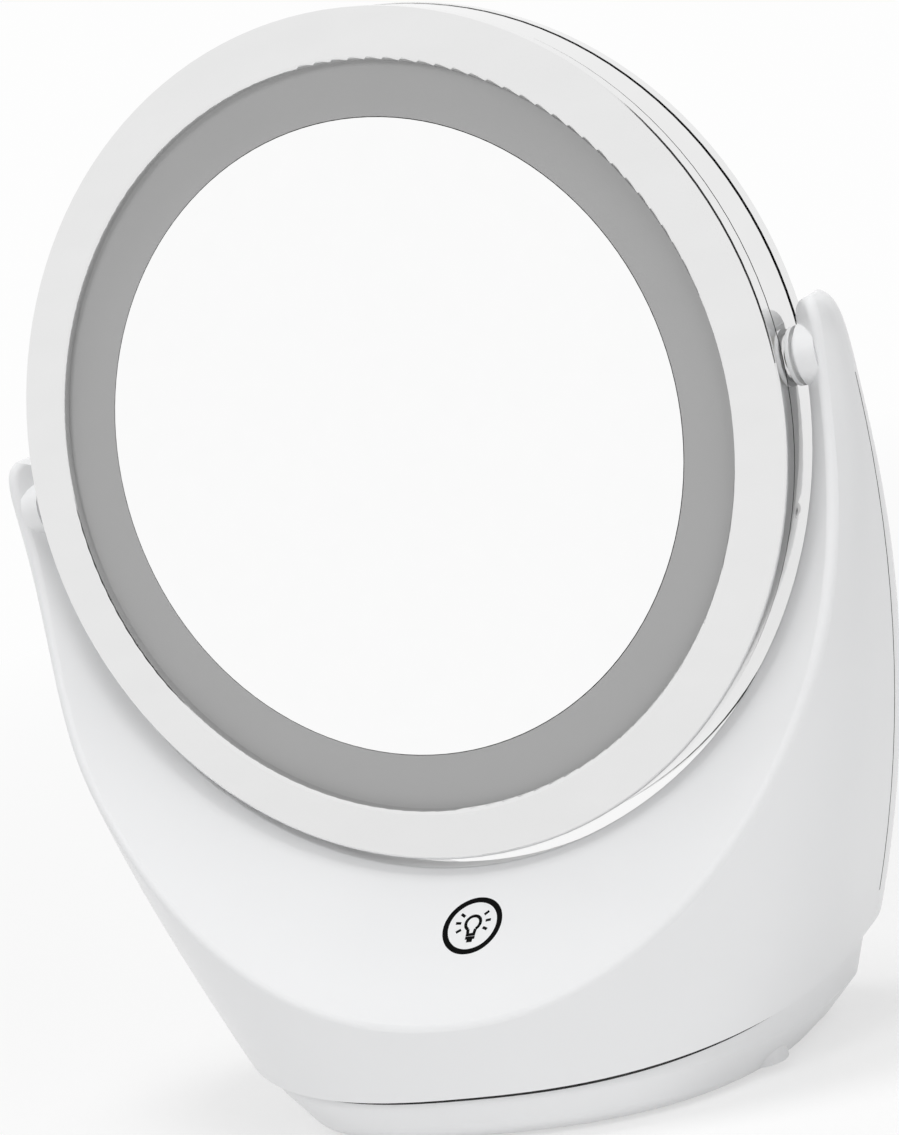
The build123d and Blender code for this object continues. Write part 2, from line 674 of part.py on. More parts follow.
for source, name in (
    (right_bush.part, "left_bush"),
    (right_washer.part, "left_washer"),
    (right_clip.part, "left_clip"),
    (right_trunnion.part, "left_trunnion"),
):
    with BuildPart() as twin:
        add(mirror(source, about=Plane.YZ))
    save(twin.part, name)

# ---------------------------------------------------------------- head
def turned_ring(points, rounded=(), radius=0.0):
    """Turn a closed outline of (distance from the head's axis, height in front of the
    middle of the head), with some of its corners rounded first."""
    with BuildPart() as ring:
        with BuildSketch(HEAD_SECTION) as outline:
            with BuildLine():
                Polyline(*points, close=True)
            make_face()
            if rounded:
                spots = [Vector(*points[i]) for i in rounded]
                fillet([v for v in outline.vertices()
                        if min((Vector(v.X, v.Y) - spot).length for spot in spots) < 0.01], radius)
        revolve(axis=HEAD_AXIS)
    return ring.part


def other_face(part):
    """The same piece on the other side of the head."""
    return mirror(part, about=HEAD_PLANE)


OUT = HEAD_HALF - BEZEL_FALL
GLASS_FRONT = HEAD_HALF - LIP_DROP
SKIRT_END = OUT - BEZEL_SKIRT
RIM_HALF = SKIRT_END - GROOVE

with BuildPart() as front_bezel:
    add(turned_ring(
        (
            (LIP_R, HEAD_HALF),
            (HEAD_R, OUT),
            (HEAD_R, SKIRT_END),
            (HEAD_R - BEZEL_WALL, SKIRT_END),
            (HEAD_R - BEZEL_WALL, OUT - BEZEL_WALL),
            (LIP_R + LIP_WALL, HEAD_HALF - BEZEL_WALL),
            (LIP_R + LIP_WALL, GLASS_FRONT),
            (LIP_R, GLASS_FRONT),
        ),
        (0, 1), BEZEL_EDGE,
    ))
save(front_bezel.part, "front_bezel")

with BuildPart() as rear_bezel:
    add(other_face(front_bezel.part))
save(rear_bezel.part, "rear_bezel")

with BuildPart() as head_rim:
    add(turned_ring((
        (SPIGOT_IN, -SPIGOT), (SPIGOT_OUT, -SPIGOT), (SPIGOT_OUT, -RIM_HALF),
        (RIM_R, -RIM_HALF), (RIM_R, RIM_HALF), (SPIGOT_OUT, RIM_HALF),
        (SPIGOT_OUT, SPIGOT), (SPIGOT_IN, SPIGOT),
    )))
    for side in (-1, 1):
        add(cylinder_along_axle(SPIGOT_IN + 1, COLLARS[0][0], PAD_R, side))
        add(cylinder_along_axle(FLANGE_OUT - 1, HEAD_R + 1, PIN_R, side), mode=Mode.SUBTRACT)
save(head_rim.part, "head_rim")

with BuildPart() as front_mirror:
    add(turned_ring((
        (0, GLASS_FRONT - GLASS), (BAND_R, GLASS_FRONT - GLASS), (BAND_R, GLASS_FRONT), (0, GLASS_FRONT),
    )))
save(front_mirror.part, "front_mirror")

MAGNIFIER_SAG = MAGNIFIER_R - sqrt(MAGNIFIER_R**2 - BAND_R**2)
with BuildPart() as rear_mirror:
    with BuildSketch(HEAD_SECTION):
        with BuildLine():
            edge = -GLASS_FRONT
            middle = edge + MAGNIFIER_SAG
            bow = MAGNIFIER_R - sqrt(MAGNIFIER_R**2 - (BAND_R / 2) ** 2)
            ThreePointArc((0, middle), (BAND_R / 2, middle - bow), (BAND_R, edge))
            Line((BAND_R, edge), (BAND_R, edge + GLASS))
            ThreePointArc(
                (BAND_R, edge + GLASS), (BAND_R / 2, middle - bow + GLASS), (0, middle + GLASS)
            )
            Line((0, middle + GLASS), (0, middle))
        make_face()
    revolve(axis=HEAD_AXIS)
save(rear_mirror.part, "rear_mirror")

with BuildPart() as front_light_band:
    add(turned_ring((
        (BAND_R + BAND_GAP, GLASS_FRONT - OPAL), (BAND_OUT, GLASS_FRONT - OPAL),
        (BAND_OUT, GLASS_FRONT), (BAND_R + BAND_GAP, GLASS_FRONT),
    )))
save(front_light_band.part, "front_light_band")

with BuildPart() as rear_light_band:
    add(other_face(front_light_band.part))
save(rear_light_band.part, "rear_light_band")


def carrier_side(ledge):
    """One side of the carrier: the ledge under a mirror and the wall behind its band."""
    band_back = GLASS_FRONT - OPAL
    with BuildPart() as side:
        add(turned_ring((
            (LEDGE_IN, 0), (LEDGE_IN, ledge), (BAND_R + BAND_GAP, ledge),
            (BAND_R + BAND_GAP, band_back), (LEDGE_OUT, band_back), (LEDGE_OUT, 0),
        )))
        add(turned_ring((
            (WALL_IN, 0), (WALL_IN, band_back), (CARRIER_R, band_back), (CARRIER_R, 0),
        )))
    return side.part


with BuildPart() as mirror_carrier:
    add(turned_ring(((0, -WEB / 2), (CARRIER_R, -WEB / 2), (CARRIER_R, WEB / 2), (0, WEB / 2))))
    add(carrier_side(GLASS_FRONT - GLASS))
    add(other_face(carrier_side(GLASS_FRONT - GLASS - MAGNIFIER_ROOM)))
    # notches that the trunnions' flanges stand in
    with BuildSketch(HEAD_PLANE.offset(-NOTCH_DEEP)):
        for side in (-1, 1):
            with Locations((side * CARRIER_R, 0)):
                Rectangle(2 * (CARRIER_R - NOTCH_IN), 2 * NOTCH_HALF)
    extrude(amount=2 * NOTCH_DEEP, mode=Mode.SUBTRACT)
save(mirror_carrier.part, "mirror_carrier")

with BuildPart() as front_led_board:
    add(turned_ring((
        (LED_BOARD_IN, WEB / 2), (LED_BOARD_OUT, WEB / 2),
        (LED_BOARD_OUT, WEB / 2 + BOARD), (LED_BOARD_IN, WEB / 2 + BOARD),
    )))
save(front_led_board.part, "front_led_board")

with BuildPart() as front_leds:
    with BuildSketch(HEAD_PLANE.offset(WEB / 2 + BOARD)):
        with PolarLocations(LED_R, LED_COUNT):
            Rectangle(LED_SIZE[0], LED_SIZE[1])
    extrude(amount=LED_SIZE[2])
save(front_leds.part, "front_leds")

for source, name in (
    (front_led_board.part, "rear_led_board"),
    (front_leds.part, "rear_leds"),
):
    with BuildPart() as twin:
        add(other_face(source))
    save(twin.part, name)

# ---------------------------------------------------------------- leads
ARM_ROUTE = [from_axle(*point) for point in LAMP_ROUTE]
lamp_lead = tube_along(ARM_ROUTE, LAMP_RADII, LEAD_R)
save(lamp_lead, "lamp_lead")

head_route = [HEAD_PLANE.from_local_coords(point) for point in HEAD_ROUTE]
head_lead = tube_along(head_route, HEAD_ROUTE_RADII, LEAD_R)
save(head_lead, "head_lead")

battery_lead = tube_along([Vector(*point) for point in BATTERY_ROUTE], BATTERY_RADII, LEAD_R)
save(battery_lead, "battery_lead")
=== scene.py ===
# %% [markdown]
# # A lighted vanity mirror
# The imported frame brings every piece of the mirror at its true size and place. This
# lesson gives each piece its finish, prints the touch sign on the base, and sets up a
# pale studio with one camera. Everything is in metres, with +Z up and the front at -Y.

# %% Load the frame
import json
import math
import bmesh
import bpy
from mathutils import Matrix, Vector
from mathutils.bvhtree import BVHTree


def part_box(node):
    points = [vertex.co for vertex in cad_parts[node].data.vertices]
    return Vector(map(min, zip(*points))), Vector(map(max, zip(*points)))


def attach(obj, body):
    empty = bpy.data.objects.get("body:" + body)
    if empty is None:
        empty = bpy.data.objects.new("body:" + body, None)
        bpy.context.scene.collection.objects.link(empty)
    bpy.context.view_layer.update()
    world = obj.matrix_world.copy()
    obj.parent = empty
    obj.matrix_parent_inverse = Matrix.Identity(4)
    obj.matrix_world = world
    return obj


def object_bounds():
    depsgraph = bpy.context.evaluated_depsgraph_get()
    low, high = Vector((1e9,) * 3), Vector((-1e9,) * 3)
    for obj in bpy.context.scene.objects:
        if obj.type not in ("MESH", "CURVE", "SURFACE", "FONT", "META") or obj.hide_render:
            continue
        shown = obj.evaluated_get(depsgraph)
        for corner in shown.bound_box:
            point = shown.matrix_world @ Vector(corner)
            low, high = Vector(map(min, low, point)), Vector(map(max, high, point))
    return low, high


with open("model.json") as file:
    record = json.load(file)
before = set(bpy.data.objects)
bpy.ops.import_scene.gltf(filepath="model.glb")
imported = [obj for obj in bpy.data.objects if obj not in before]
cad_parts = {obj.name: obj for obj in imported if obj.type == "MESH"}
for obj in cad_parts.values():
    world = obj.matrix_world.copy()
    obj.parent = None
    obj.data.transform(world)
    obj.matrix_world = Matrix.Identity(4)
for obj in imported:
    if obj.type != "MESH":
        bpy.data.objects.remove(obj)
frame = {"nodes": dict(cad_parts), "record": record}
cad_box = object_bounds()
nodes = frame["nodes"]
MM = 0.001


def surface_tree(node):
    """A tree of a node's faces, for casting rays at it."""
    mesh = nodes[node].data
    return BVHTree.FromPolygons(
        [v.co for v in mesh.vertices], [tuple(p.vertices) for p in mesh.polygons]
    )


print("pieces from the frame:", len(nodes))


# %% [markdown]
# ## Shader maths as plain expressions
# A material is a graph of nodes, and long chains of Math nodes are hard to read. A small
# class wraps one output socket, so that `1 - mask` or `noise * 0.2` adds the Math nodes
# by itself. Every other node comes from one method of the material's paint table.

# %% A socket that can be added and multiplied
class Tone:
    """One output socket of a material, with arithmetic that adds Math nodes."""

    def __init__(self, table, socket):
        self.table = table
        self.socket = socket

    def math(self, operation, other, swapped=False):
        first, second = (other, self) if swapped else (self, other)
        settings = {"operation": operation}
        return self.table.node("ShaderNodeMath", settings, {0: first, 1: second})

    def __add__(self, other):
        return self.math("ADD", other)

    __radd__ = __add__

    def __mul__(self, other):
        return self.math("MULTIPLY", other)

    __rmul__ = __mul__

    def __sub__(self, other):
        return self.math("SUBTRACT", other)

    def __rsub__(self, other):
        return self.math("SUBTRACT", other, swapped=True)


class PaintTable:
    """Builds the nodes of one material."""

    def __init__(self, name):
        self.material = bpy.data.materials.new(name)
        self.material.use_nodes = True
        self.tree = self.material.node_tree
        self.tree.nodes.clear()
        self.out = self.tree.nodes.new("ShaderNodeOutputMaterial")

    def node(self, kind, settings=None, sockets=None, output=0):
        """Add a node: its settings first, then the values or links of its sockets."""
        made = self.tree.nodes.new(kind)
        for key, value in (settings or {}).items():
            setattr(made, key, value)
        for key, value in (sockets or {}).items():
            if isinstance(value, Tone):
                self.tree.links.new(value.socket, made.inputs[key])
            else:
                made.inputs[key].default_value = value
        return Tone(self, made.outputs[output])

    def place(self):
        """Where a point lies on the object at rest, in metres."""
        return self.node("ShaderNodeTexCoord", output="Object")

    def noise(self, size, detail=2.0, roughness=0.5, stretch=(1, 1, 1)):
        """Soft noise whose grains are about `size` metres across."""
        spread = self.node(
            "ShaderNodeMapping", {"vector_type": "POINT"},
            {"Vector": self.place(), "Scale": [s / size for s in stretch]},
        )
        return self.node(
            "ShaderNodeTexNoise", {},
            {"Vector": spread, "Scale": 1.0, "Detail": detail, "Roughness": roughness},
        )

    def between(self, mask, low, high):
        """A colour that goes from low to high with the mask."""
        return self.node(
            "ShaderNodeMix", {"data_type": "RGBA"},
            {0: mask, 6: (*low, 1), 7: (*high, 1)}, output=2,
        )

    def bump(self, height, distance, strength=1.0):
        """A normal that follows a height given from 0 to 1, `distance` metres deep."""
        return self.node(
            "ShaderNodeBump", {},
            {"Height": height, "Distance": distance, "Strength": strength},
        )

    def finish(self, **sockets):
        """The main shader; a name such as Base_Color stands for the socket Base Color."""
        named = {key.replace("_", " "): value for key, value in sockets.items()}
        shader = self.node("ShaderNodeBsdfPrincipled", {}, named)
        self.tree.links.new(shader.socket, self.out.inputs["Surface"])
        return self.material


def grey(value):
    """A neutral colour."""
    return (value, value, value)


print("shader helpers ready")


# %% [markdown]
# ## Glossy white plastic
# The base is moulded in white ABS and polished. Up close such a skin is not perfect: it
# carries a faint orange peel, slow waves where the plastic shrank, and a touch of warmth
# where it is thick. A plain white would look like paper, so the colour and the roughness
# both wander a little, and a very shallow bump bends the highlights.

# %% White plastic
def white_plastic(name, low, high, shine):
    """Polished white plastic whose colour lies between low and high."""
    table = PaintTable(name)
    cloud = table.noise(0.045, detail=3.0)
    peel = table.noise(0.0016, detail=1.0)
    wave = table.noise(0.030, detail=1.0)
    return table.finish(
        Base_Color=table.between(cloud, low, high),
        Roughness=shine + cloud * 0.06,
        Normal=table.bump(peel * 0.25 + wave * 0.75, 0.00006, 0.55),
        Coat_Weight=0.35,
        Coat_Roughness=0.12,
        IOR=1.5,
    )


WHITE_LOW = (0.815, 0.820, 0.828)
WHITE_HIGH = (0.845, 0.848, 0.855)
shell_white = white_plastic("shell_white", WHITE_LOW, WHITE_HIGH, 0.30)
tray_white = white_plastic("tray_white", WHITE_LOW, WHITE_HIGH, 0.34)
print("white plastics made")


# %% [markdown]
# ## Chrome, silvered glass and the frosted band
# The rings are plastic with a chrome plate. Chrome has no colour of its own: it shows the
# room. The plate of the rim is bright, with a roughness of nearly nothing and faint
# wiping marks, and that of the two bezels is a little more satin. The glass is silvered
# behind, and a metallic surface with almost no roughness is its cheapest honest model.
# The light band is acrylic with a blasted face, flat and grey while the lamps behind it
# are off, so it scatters light and has a fine grain.

# %% Bright surfaces
def chrome(name, rough):
    """Chrome plate with faint wiping marks, as bright as its roughness is low."""
    table = PaintTable(name)
    wipes = table.noise(0.02, detail=4.0, stretch=(1, 1, 3))
    ripple = table.noise(0.035, detail=1.0)
    return table.finish(
        Base_Color=table.between(wipes, grey(0.80), grey(0.84)),
        Metallic=1.0,
        Roughness=rough + wipes * 0.03,
        Normal=table.bump(ripple, 0.00005, 0.5),
    )


def silvered_glass():
    """A clean mirror with a trace of dust."""
    table = PaintTable("silvered_glass")
    dust = table.noise(0.006, detail=5.0)
    return table.finish(
        Base_Color=table.between(dust, grey(0.965), grey(0.98)),
        Metallic=1.0,
        Roughness=0.004 + dust * 0.006,
    )


def frosted_band():
    """Blasted acrylic over unlit lamps."""
    table = PaintTable("frosted_band")
    grain = table.noise(0.0004, detail=2.0)
    cloud = table.noise(0.03, detail=2.0)
    return table.finish(
        Base_Color=table.between(cloud, grey(0.415), grey(0.435)),
        Roughness=0.62 + grain * 0.1,
        Normal=table.bump(grain, 0.00002, 0.5),
        Specular_IOR_Level=0.25,
    )


chrome_plate = chrome("chrome_plate", 0.035)
bezel_plate = chrome("bezel_plate", 0.13)
mirror_silver = silvered_glass()
band_frost = frosted_band()
print("bright surfaces made")


# %% [markdown]
# ## The small hardware
# Screws, springs and clips are plated steel, the feet are soft rubber, and the boards are
# lacquered. They are small or hidden, but each still gets a finish that varies: brushed
# marks on steel, a dull bloom on rubber, and a weave under the board's lacquer.

# %% Plated metals
def plated(name, low, high, rough):
    """Plated metal with fine brushed marks."""
    table = PaintTable(name)
    marks = table.noise(0.0015, detail=3.0, stretch=(1, 8, 1))
    return table.finish(
        Base_Color=table.between(marks, low, high),
        Metallic=1.0,
        Roughness=rough + marks * 0.12,
        Normal=table.bump(marks, 0.00001, 0.4),
    )


def moulded(name, low, high, rough, grain):
    """Plain moulded plastic, rubber, lacquer or insulation with a fine grain."""
    table = PaintTable(name)
    spots = table.noise(grain, detail=3.0)
    return table.finish(
        Base_Color=table.between(spots, low, high),
        Roughness=rough + spots * 0.1,
        Normal=table.bump(spots, grain * 0.05, 0.5),
    )


steel = plated("zinc_steel", grey(0.55), grey(0.66), 0.28)
nickel = plated("nickel_spring", (0.66, 0.63, 0.58), (0.74, 0.71, 0.66), 0.2)
copper = plated("bare_copper", (0.80, 0.42, 0.28), (0.90, 0.52, 0.36), 0.25)
inner_white = moulded("inner_white", grey(0.80), grey(0.84), 0.55, 0.0012)
acetal = moulded("natural_acetal", (0.74, 0.73, 0.69), (0.79, 0.78, 0.74), 0.4, 0.001)
rubber = moulded("foot_rubber", grey(0.025), grey(0.04), 0.75, 0.0006)
lacquer = moulded("board_lacquer", (0.02, 0.16, 0.07), (0.03, 0.20, 0.09), 0.3, 0.0005)
epoxy = moulded("chip_epoxy", grey(0.012), grey(0.02), 0.5, 0.0004)
lamp = moulded("lamp_package", (0.85, 0.82, 0.62), (0.90, 0.86, 0.66), 0.3, 0.0004)
insulation = moulded("lead_insulation", grey(0.015), grey(0.025), 0.45, 0.0005)
jacket = moulded("cell_jacket", (0.06, 0.07, 0.09), (0.08, 0.09, 0.12), 0.3, 0.003)
print("hardware finishes made")

# %% [markdown]
# ## Put the finishes on
# The record names a material slot for every node, so one table from slot to finish
# covers the whole object, and no piece can be forgotten. Only the bezels differ from
# their slot: their plate is the satin one.

# %% Dress every node
FINISHES = {
    "white_shell": shell_white,
    "white_tray": tray_white,
    "chrome_ring": chrome_plate,
    "mirror_glass": mirror_silver,
    "opal_band": band_frost,
    "white_inner": inner_white,
    "bush_plastic": acetal,
    "steel": steel,
    "nickel": nickel,
    "rubber_foot": rubber,
    "cell_case": jacket,
    "board_green": lacquer,
    "chip_black": epoxy,
    "led_white": lamp,
    "copper": copper,
    "lead_black": insulation,
}
SLOT_OF = {part["node"]: part["material_slot"] for part in frame["record"]["subparts"]}

for name, node in nodes.items():
    finish = bezel_plate if name.endswith("_bezel") else FINISHES[SLOT_OF[name]]
    node.data.materials.clear()
    node.data.materials.append(finish)
print("dressed", len(nodes), "nodes")


# %% [markdown]
# ## The touch sign
# The switch has no button: a sign printed on the sloping facet marks where to touch. The
# print is a ring with a light bulb and six rays. It is drawn flat as filled outlines, cut
# into small faces, and then each point is dropped on the shell below it, so the ink
# follows the curved facet. It is a thin closed skin, as pad-printed ink is.

# %% Where the sign goes
ICON_RING = 7.85 * MM
ICON_STROKE = 1.4 * MM
INK = 0.03 * MM
FACET_FALL = math.radians(55)
shell_tree = surface_tree("front_shell")
outward = Vector((0, -math.cos(FACET_FALL), math.sin(FACET_FALL)))
uphill = Vector((0, math.sin(FACET_FALL), math.cos(FACET_FALL)))
pad_points = [v.co for v in nodes["touch_pad"].data.vertices]
pad_top = max(co.dot(outward) for co in pad_points)
top_points = [co for co in pad_points if pad_top - co.dot(outward) < MM / 2]
pad_centre = sum(top_points, Vector()) / len(top_points)
print("sign centre", pad_centre)


# %% Outlines of the sign
def ring_faces(grid, centre, outer, inner, steps, start=0.0, sweep=math.tau):
    """A flat band along an arc, as a row of quads."""
    count = max(3, int(steps * sweep / math.tau))
    whole = abs(sweep - math.tau) < 1e-6
    rows = []
    for i in range(count if whole else count + 1):
        turn = start + sweep * i / count
        way = Vector((math.cos(turn), math.sin(turn)))
        rows.append([
            grid.verts.new((*(centre + way * inner), 0)),
            grid.verts.new((*(centre + way * outer), 0)),
        ])
    pairs = zip(rows, rows[1:] + (rows[:1] if whole else []))
    for (a, b), (c, d) in pairs:
        grid.faces.new((a, b, d, c))


def bar_faces(grid, start, end, width):
    """A straight stroke with square ends, as one quad."""
    along = (end - start).normalized()
    across = Vector((-along.y, along.x)) * width / 2
    corners = (start - across, end - across, end + across, start + across)
    grid.faces.new([grid.verts.new((*corner, 0)) for corner in corners])


BULB = Vector((0, 0.75 * MM))
BULB_R = 2.35 * MM
BULB_STROKE = 0.8 * MM
BULB_GAP = math.radians(62)
NECK_END = (0.85 * MM, -2.1 * MM)
CAP_BARS = ((-2.45 * MM, 1.25 * MM), (-3.35 * MM, 1.25 * MM), (-4.15 * MM, 0.75 * MM))
RAY_TURNS = (-28, 5, 38)
RAY_START = 3.3 * MM
RAY_END = 4.7 * MM


def draw_sign():
    """Ring, bulb, cap bars and rays, in metres, upright, around the sign's centre."""
    grid = bmesh.new()
    ring_faces(grid, Vector((0, 0)), ICON_RING, ICON_RING - ICON_STROKE, 96)
    # the glass is an arc that is open at the bottom, and two strokes lead to the cap
    half_gap = BULB_GAP / 2
    ring_faces(
        grid, BULB, BULB_R, BULB_R - BULB_STROKE, 64,
        half_gap - math.pi / 2, math.tau - BULB_GAP,
    )
    for side in (-1, 1):
        way = Vector((side * math.sin(half_gap), -math.cos(half_gap)))
        hip = BULB + way * (BULB_R - BULB_STROKE / 2)
        bar_faces(grid, hip, Vector((side * NECK_END[0], NECK_END[1])), BULB_STROKE)
    for height, half in CAP_BARS:
        bar_faces(grid, Vector((-half, height)), Vector((half, height)), BULB_STROKE)
    for side in (-1, 1):
        for rise in RAY_TURNS:
            turn = math.radians(rise)
            way = Vector((side * math.cos(turn), math.sin(turn)))
            bar_faces(grid, BULB + way * RAY_START, BULB + way * RAY_END, BULB_STROKE * 0.9)
    return grid


# %% Drop the sign on the facet
RAY_REACH = 20 * MM


def base_piece(grid, name, material):
    """Turn a grid into an object of the base, with the given material."""
    bmesh.ops.recalc_face_normals(grid, faces=grid.faces[:])
    mesh = bpy.data.meshes.new(name)
    grid.to_mesh(mesh)
    grid.free()
    piece = bpy.data.objects.new(name, mesh)
    bpy.context.scene.collection.objects.link(piece)
    piece.data.materials.append(material)
    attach(piece, "base")
    return piece


def print_on_facet(grid):
    """Lay a flat drawing on the facet and give it the thickness of ink."""
    long_edges = [edge for edge in grid.edges if edge.calc_length() > MM]
    bmesh.ops.subdivide_edges(grid, edges=long_edges, cuts=2, use_grid_fill=True)
    bmesh.ops.triangulate(grid, faces=grid.faces[:])
    top = bmesh.ops.extrude_face_region(grid, geom=grid.faces[:])
    raised = {v for v in top["geom"] if isinstance(v, bmesh.types.BMVert)}
    for vert in grid.verts:
        flat = pad_centre + Vector((1, 0, 0)) * vert.co.x + uphill * vert.co.y
        start = flat + outward * RAY_REACH
        hit, normal, _, _ = shell_tree.ray_cast(start, -outward)
        lift = INK if vert in raised else -INK / 2
        vert.co = hit + normal * lift


ink_table = PaintTable("printed_ink")
ink_grain = ink_table.noise(0.0005)
ink = ink_table.finish(
    Base_Color=ink_table.between(ink_grain, grey(0.002), grey(0.006)),
    Roughness=0.7 + ink_grain * 0.1,
    Specular_IOR_Level=0.05,
)
drawing = draw_sign()
print_on_facet(drawing)
sign = base_piece(drawing, "touch_sign", ink)
print("sign has", len(sign.data.polygons), "faces")

# %% [markdown]
# ## Painted shadow lines between the mouldings
# Where two mouldings meet there is a hairline gap that stays dark in shade. Two such lines show
# on
# the base: the seam between the shells and the tray, and the parting line up each side
# between the front and the rear shell. Each is painted shade: a thin closed near-black strip
# that follows the surface and stands in for the shadow in the gap. Rays from outside find the
# plastic, row by row, and the strip lies on it.

# %% A strip that follows a surface
OUTSIDE = 0.2


def surface_strip(name, tree, rows, lift):
    """A closed ribbon through rows of ray pairs: (start, way) for its two edges."""
    grid = bmesh.new()
    rings = []
    for pair in rows:
        hits = [tree.ray_cast(start, way)[:2] for start, way in pair]
        if any(hit is None for hit, _ in hits):
            continue
        (a, na), (b, nb) = hits
        rings.append([
            grid.verts.new(a + na * lift), grid.verts.new(b + nb * lift),
            grid.verts.new(b - nb * lift), grid.verts.new(a - na * lift),
        ])
    for one, two in zip(rings, rings[1:]):
        for i in range(4):
            k = (i + 1) % 4
            grid.faces.new((one[i], one[k], two[k], two[i]))
    grid.faces.new(rings[0])
    grid.faces.new(list(reversed(rings[-1])))
    return base_piece(grid, name, shadow_line)


# painted shade: the strips are near-black with a faint mottle, standing in for the shadow in the
# hairline gaps
line_table = PaintTable("shadow_line")
painted_shade_mottle = line_table.noise(0.002)
shadow_line = line_table.finish(
    Base_Color=line_table.between(painted_shade_mottle, grey(0.02), grey(0.07)),
    Roughness=0.9,
    Specular_IOR_Level=0.05,
)

# %% The seam above the tray
SEAM_HIGH = 1.8 * MM
SEAM_DROP = 0.05 * MM
SEAM_LIFT = 0.08 * MM
SEAM_RISE = math.radians(11)
SEAM_FROM = math.radians(-178)
SEAM_TO = math.radians(-2)
SEAM_STEPS = 420
shell_points = [v.co for v in nodes["front_shell"].data.vertices]
seam_start = min(shell_points, key=lambda co: (round(co.z, 4), co.y))


def seam_height(y):
    """Height of the shells' lower edge at a distance from front to back."""
    return seam_start.z + (y - seam_start.y) * math.tan(SEAM_RISE)


tray_tree = surface_tree("base_tray")
print("seam starts at", seam_start)


def seam_rows():
    """Ray pairs round the front of the tray, just below the seam."""
    rows = []
    for i in range(SEAM_STEPS + 1):
        turn = SEAM_FROM + (SEAM_TO - SEAM_FROM) * i / SEAM_STEPS
        way = -Vector((math.cos(turn), math.sin(turn), 0))
        # the seam rises towards the back, so its height and its depth are found in turns
        hit = seam_start
        for _ in range(4):
            height = seam_height(hit.y) - SEAM_DROP - SEAM_HIGH / 2
            start = Vector((0, pad_centre.y / 2, height)) - way * OUTSIDE
            found = tray_tree.ray_cast(start, way)[0]
            hit = found or hit
        pair = []
        for shift in (-0.5, 0.5):
            level = seam_height(hit.y) - SEAM_DROP - SEAM_HIGH / 2 + shift * SEAM_HIGH
            pair.append((Vector((start.x, start.y, level)), way))
        rows.append(pair)
    return rows


# a strip of painted shade along the seam between the shells and the tray
surface_strip("front_seam_shade", tray_tree, seam_rows(), SEAM_LIFT)

# %% The parting line up each side
PART_WIDE = 0.28 * MM
PART_SHIFT = 0.03 * MM
PART_LIFT = 0.02 * MM
PART_LOW = 0.031
PART_HIGH = 0.150
PART_STEPS = 120
parting_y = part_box("front_shell")[1][1] + PART_SHIFT
rear_tree = surface_tree("rear_shell")
for side, word in ((1, "right"), (-1, "left")):
    rows = []
    way = Vector((-side, 0, 0))
    for i in range(PART_STEPS + 1):
        height = PART_LOW + (PART_HIGH - PART_LOW) * i / PART_STEPS
        rows.append([
            (Vector((side * OUTSIDE, parting_y, height)), way),
            (Vector((side * OUTSIDE, parting_y + PART_WIDE, height)), way),
        ])
    # a strip of painted shade along the parting line between the front and the rear shell
    surface_strip(f"{word}_parting_shade", rear_tree, rows, PART_LIFT)
print("seam and parting lines laid")

# %% [markdown]
# ## A pale studio
# The floor is pale and keeps the shadow. To the camera, to glossy surfaces and through
# glass the room is white, so the mirror shows a white room. Chrome only looks like
# chrome when it has something dark to reflect, so a dark card stands beside the object
# where only glossy rays can see it.

# %% Floor and room
GROUND = cad_box[0][2]
FLOOR_HALF = 3.0
SHADOW_REACH = 0.8
SHADOW_SHARE = 0.45
WHITE = 0.985


def flat_sheet(name, corners):
    """One rectangular sheet from its four corners."""
    mesh = bpy.data.meshes.new(name)
    mesh.from_pydata([tuple(c) for c in corners], [], [(0, 1, 2, 3)])
    sheet = bpy.data.objects.new(name, mesh)
    bpy.context.scene.collection.objects.link(sheet)
    return sheet


def white_to_camera(table, shader, share):
    """Mix in plain white for camera, glossy and transmission rays, as far as share."""
    rays = table.tree.nodes.new("ShaderNodeLightPath")
    seen = Tone(table, rays.outputs["Is Camera Ray"])
    seen = seen + Tone(table, rays.outputs["Is Glossy Ray"])
    seen = seen + Tone(table, rays.outputs["Is Transmission Ray"])
    glow = table.node("ShaderNodeEmission", {}, {"Color": (1, 1, 1, 1), "Strength": WHITE})
    mixed = table.node("ShaderNodeMixShader", {}, {0: seen * share, 1: shader, 2: glow})
    table.tree.links.new(mixed.socket, table.out.inputs["Surface"])


floor_table = PaintTable("pale_floor")
floor_paint = floor_table.node(
    "ShaderNodeBsdfDiffuse", {}, {"Color": (0.93, 0.93, 0.93, 1)}
)
near = floor_table.node(
    "ShaderNodeTexGradient", {"gradient_type": "SPHERICAL"},
    {"Vector": floor_table.node(
        "ShaderNodeMapping", {}, {"Vector": floor_table.place(), "Scale": [1 / SHADOW_REACH] * 3}
    )},
)
white_to_camera(floor_table, floor_paint, 1.0 - near * SHADOW_SHARE)
floor = flat_sheet("floor", [
    (-FLOOR_HALF, -FLOOR_HALF, GROUND), (FLOOR_HALF, -FLOOR_HALF, GROUND),
    (FLOOR_HALF, FLOOR_HALF, GROUND), (-FLOOR_HALF, FLOOR_HALF, GROUND),
])
floor.data.materials.append(floor_table.material)

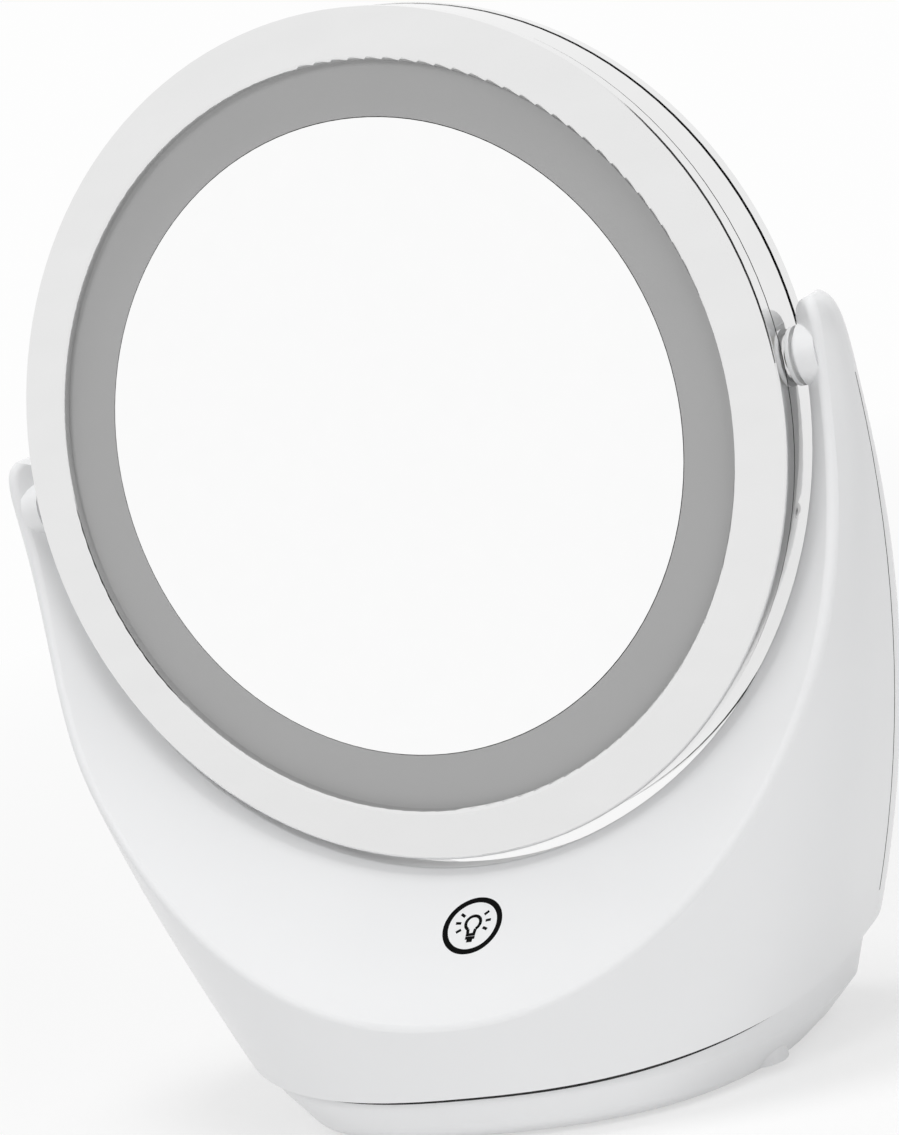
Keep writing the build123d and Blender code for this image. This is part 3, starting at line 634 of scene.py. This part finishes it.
# %% The room's light, which is softer than the white that the camera sees
ROOM_LIGHT = 0.44
world = bpy.data.worlds.new("studio")
bpy.context.scene.world = world
world.use_nodes = True
sky = world.node_tree
sky.nodes.clear()
rays = sky.nodes.new("ShaderNodeLightPath")
soft = sky.nodes.new("ShaderNodeBackground")
soft.inputs["Color"].default_value = (1, 1, 1, 1)
soft.inputs["Strength"].default_value = ROOM_LIGHT
white = sky.nodes.new("ShaderNodeBackground")
white.inputs["Color"].default_value = (1, 1, 1, 1)
white.inputs["Strength"].default_value = WHITE
either = sky.nodes.new("ShaderNodeMath")
either.operation = "ADD"
either.use_clamp = True
sky.links.new(rays.outputs["Is Camera Ray"], either.inputs[0])
sky.links.new(rays.outputs["Is Glossy Ray"], either.inputs[1])
through = sky.nodes.new("ShaderNodeMath")
through.operation = "ADD"
through.use_clamp = True
sky.links.new(either.outputs[0], through.inputs[0])
sky.links.new(rays.outputs["Is Transmission Ray"], through.inputs[1])
choose = sky.nodes.new("ShaderNodeMixShader")
sky.links.new(through.outputs[0], choose.inputs[0])
sky.links.new(soft.outputs[0], choose.inputs[1])
sky.links.new(white.outputs[0], choose.inputs[2])
room_out = sky.nodes.new("ShaderNodeOutputWorld")
sky.links.new(choose.outputs[0], room_out.inputs["Surface"])
print("floor at", GROUND)


# %% Dark card
MIDDLE = Vector((0, 0, 0.13))
CARD_FAR = 1.3
CARD_WIDE = 1.60
CARD_TALL = 1.30
card_table = PaintTable("card_black")
card_cloth = card_table.noise(0.02)
card_black = card_table.finish(
    Base_Color=card_table.between(card_cloth, grey(0.01), grey(0.03)), Roughness=0.9
)


def dark_card(name, way, wide, tall):
    """A dark sheet that only polished surfaces can see, square to one direction."""
    way = Vector(way).normalized()
    middle = MIDDLE + way * CARD_FAR
    side = way.cross(Vector((0, 0, 1))).normalized() * wide / 2
    rise = side.cross(way).normalized() * tall / 2
    card = flat_sheet(name, [
        middle - side - rise, middle + side - rise,
        middle + side + rise, middle - side + rise,
    ])
    card.data.materials.append(card_black)
    card.visible_camera = False
    card.visible_diffuse = False
    card.visible_transmission = False
    card.visible_shadow = False


dark_card("side_card", (0.84, 0.05, 0.42), CARD_WIDE, CARD_TALL)
print("one dark card at the side")


# %% Lamps
def soft_lamp(name, place, aim, size, power):
    """A square area lamp that points at a spot."""
    data = bpy.data.lights.new(name, "AREA")
    data.shape = "SQUARE"
    data.size = size
    data.energy = power
    light = bpy.data.objects.new(name, data)
    bpy.context.scene.collection.objects.link(light)
    light.location = place
    towards = Vector(aim) - Vector(place)
    light.rotation_euler = towards.to_track_quat("-Z", "Y").to_euler()
    light.visible_glossy = False


soft_lamp("key", (-0.3, -1.3, 1.2), MIDDLE, 0.6, 6.5)
soft_lamp("fill", (1.4, -0.7, 0.5), MIDDLE, 0.8, 3.5)
soft_lamp("top", (0.0, 0.05, 1.6), MIDDLE, 0.5, 9.5)

# %% [markdown]
# ## The camera
# The camera looks from a little above and from the mirror's right, with a long lens, and
# it is rolled, so the mirror seems to lean. Its place is worked out from the angles, so
# that another view is only another pair of numbers.

# %% Camera
AZIMUTH = math.radians(29.52)
ELEVATION = math.radians(10.22)
ROLL = math.radians(15.87)
DISTANCE = 0.7984
LENS = 107.84
AIM = Vector((0.00384, 0.00851, 0.12382))
toward = Vector((
    math.cos(ELEVATION) * math.sin(AZIMUTH),
    -math.cos(ELEVATION) * math.cos(AZIMUTH),
    math.sin(ELEVATION),
))
view = bpy.data.cameras.new("view")
view.lens = LENS
view.sensor_width = 36.0
camera = bpy.data.objects.new("view", view)
bpy.context.scene.collection.objects.link(camera)
level_view = (-toward).to_track_quat("-Z", "Y").to_matrix().to_4x4()
rolled_view = level_view @ Matrix.Rotation(-ROLL, 4, "Z")
camera.matrix_world = Matrix.Translation(AIM + toward * DISTANCE) @ rolled_view
bpy.context.scene.camera = camera
bpy.context.scene.view_settings.view_transform = "Standard"
print("camera at", camera.matrix_world.translation)
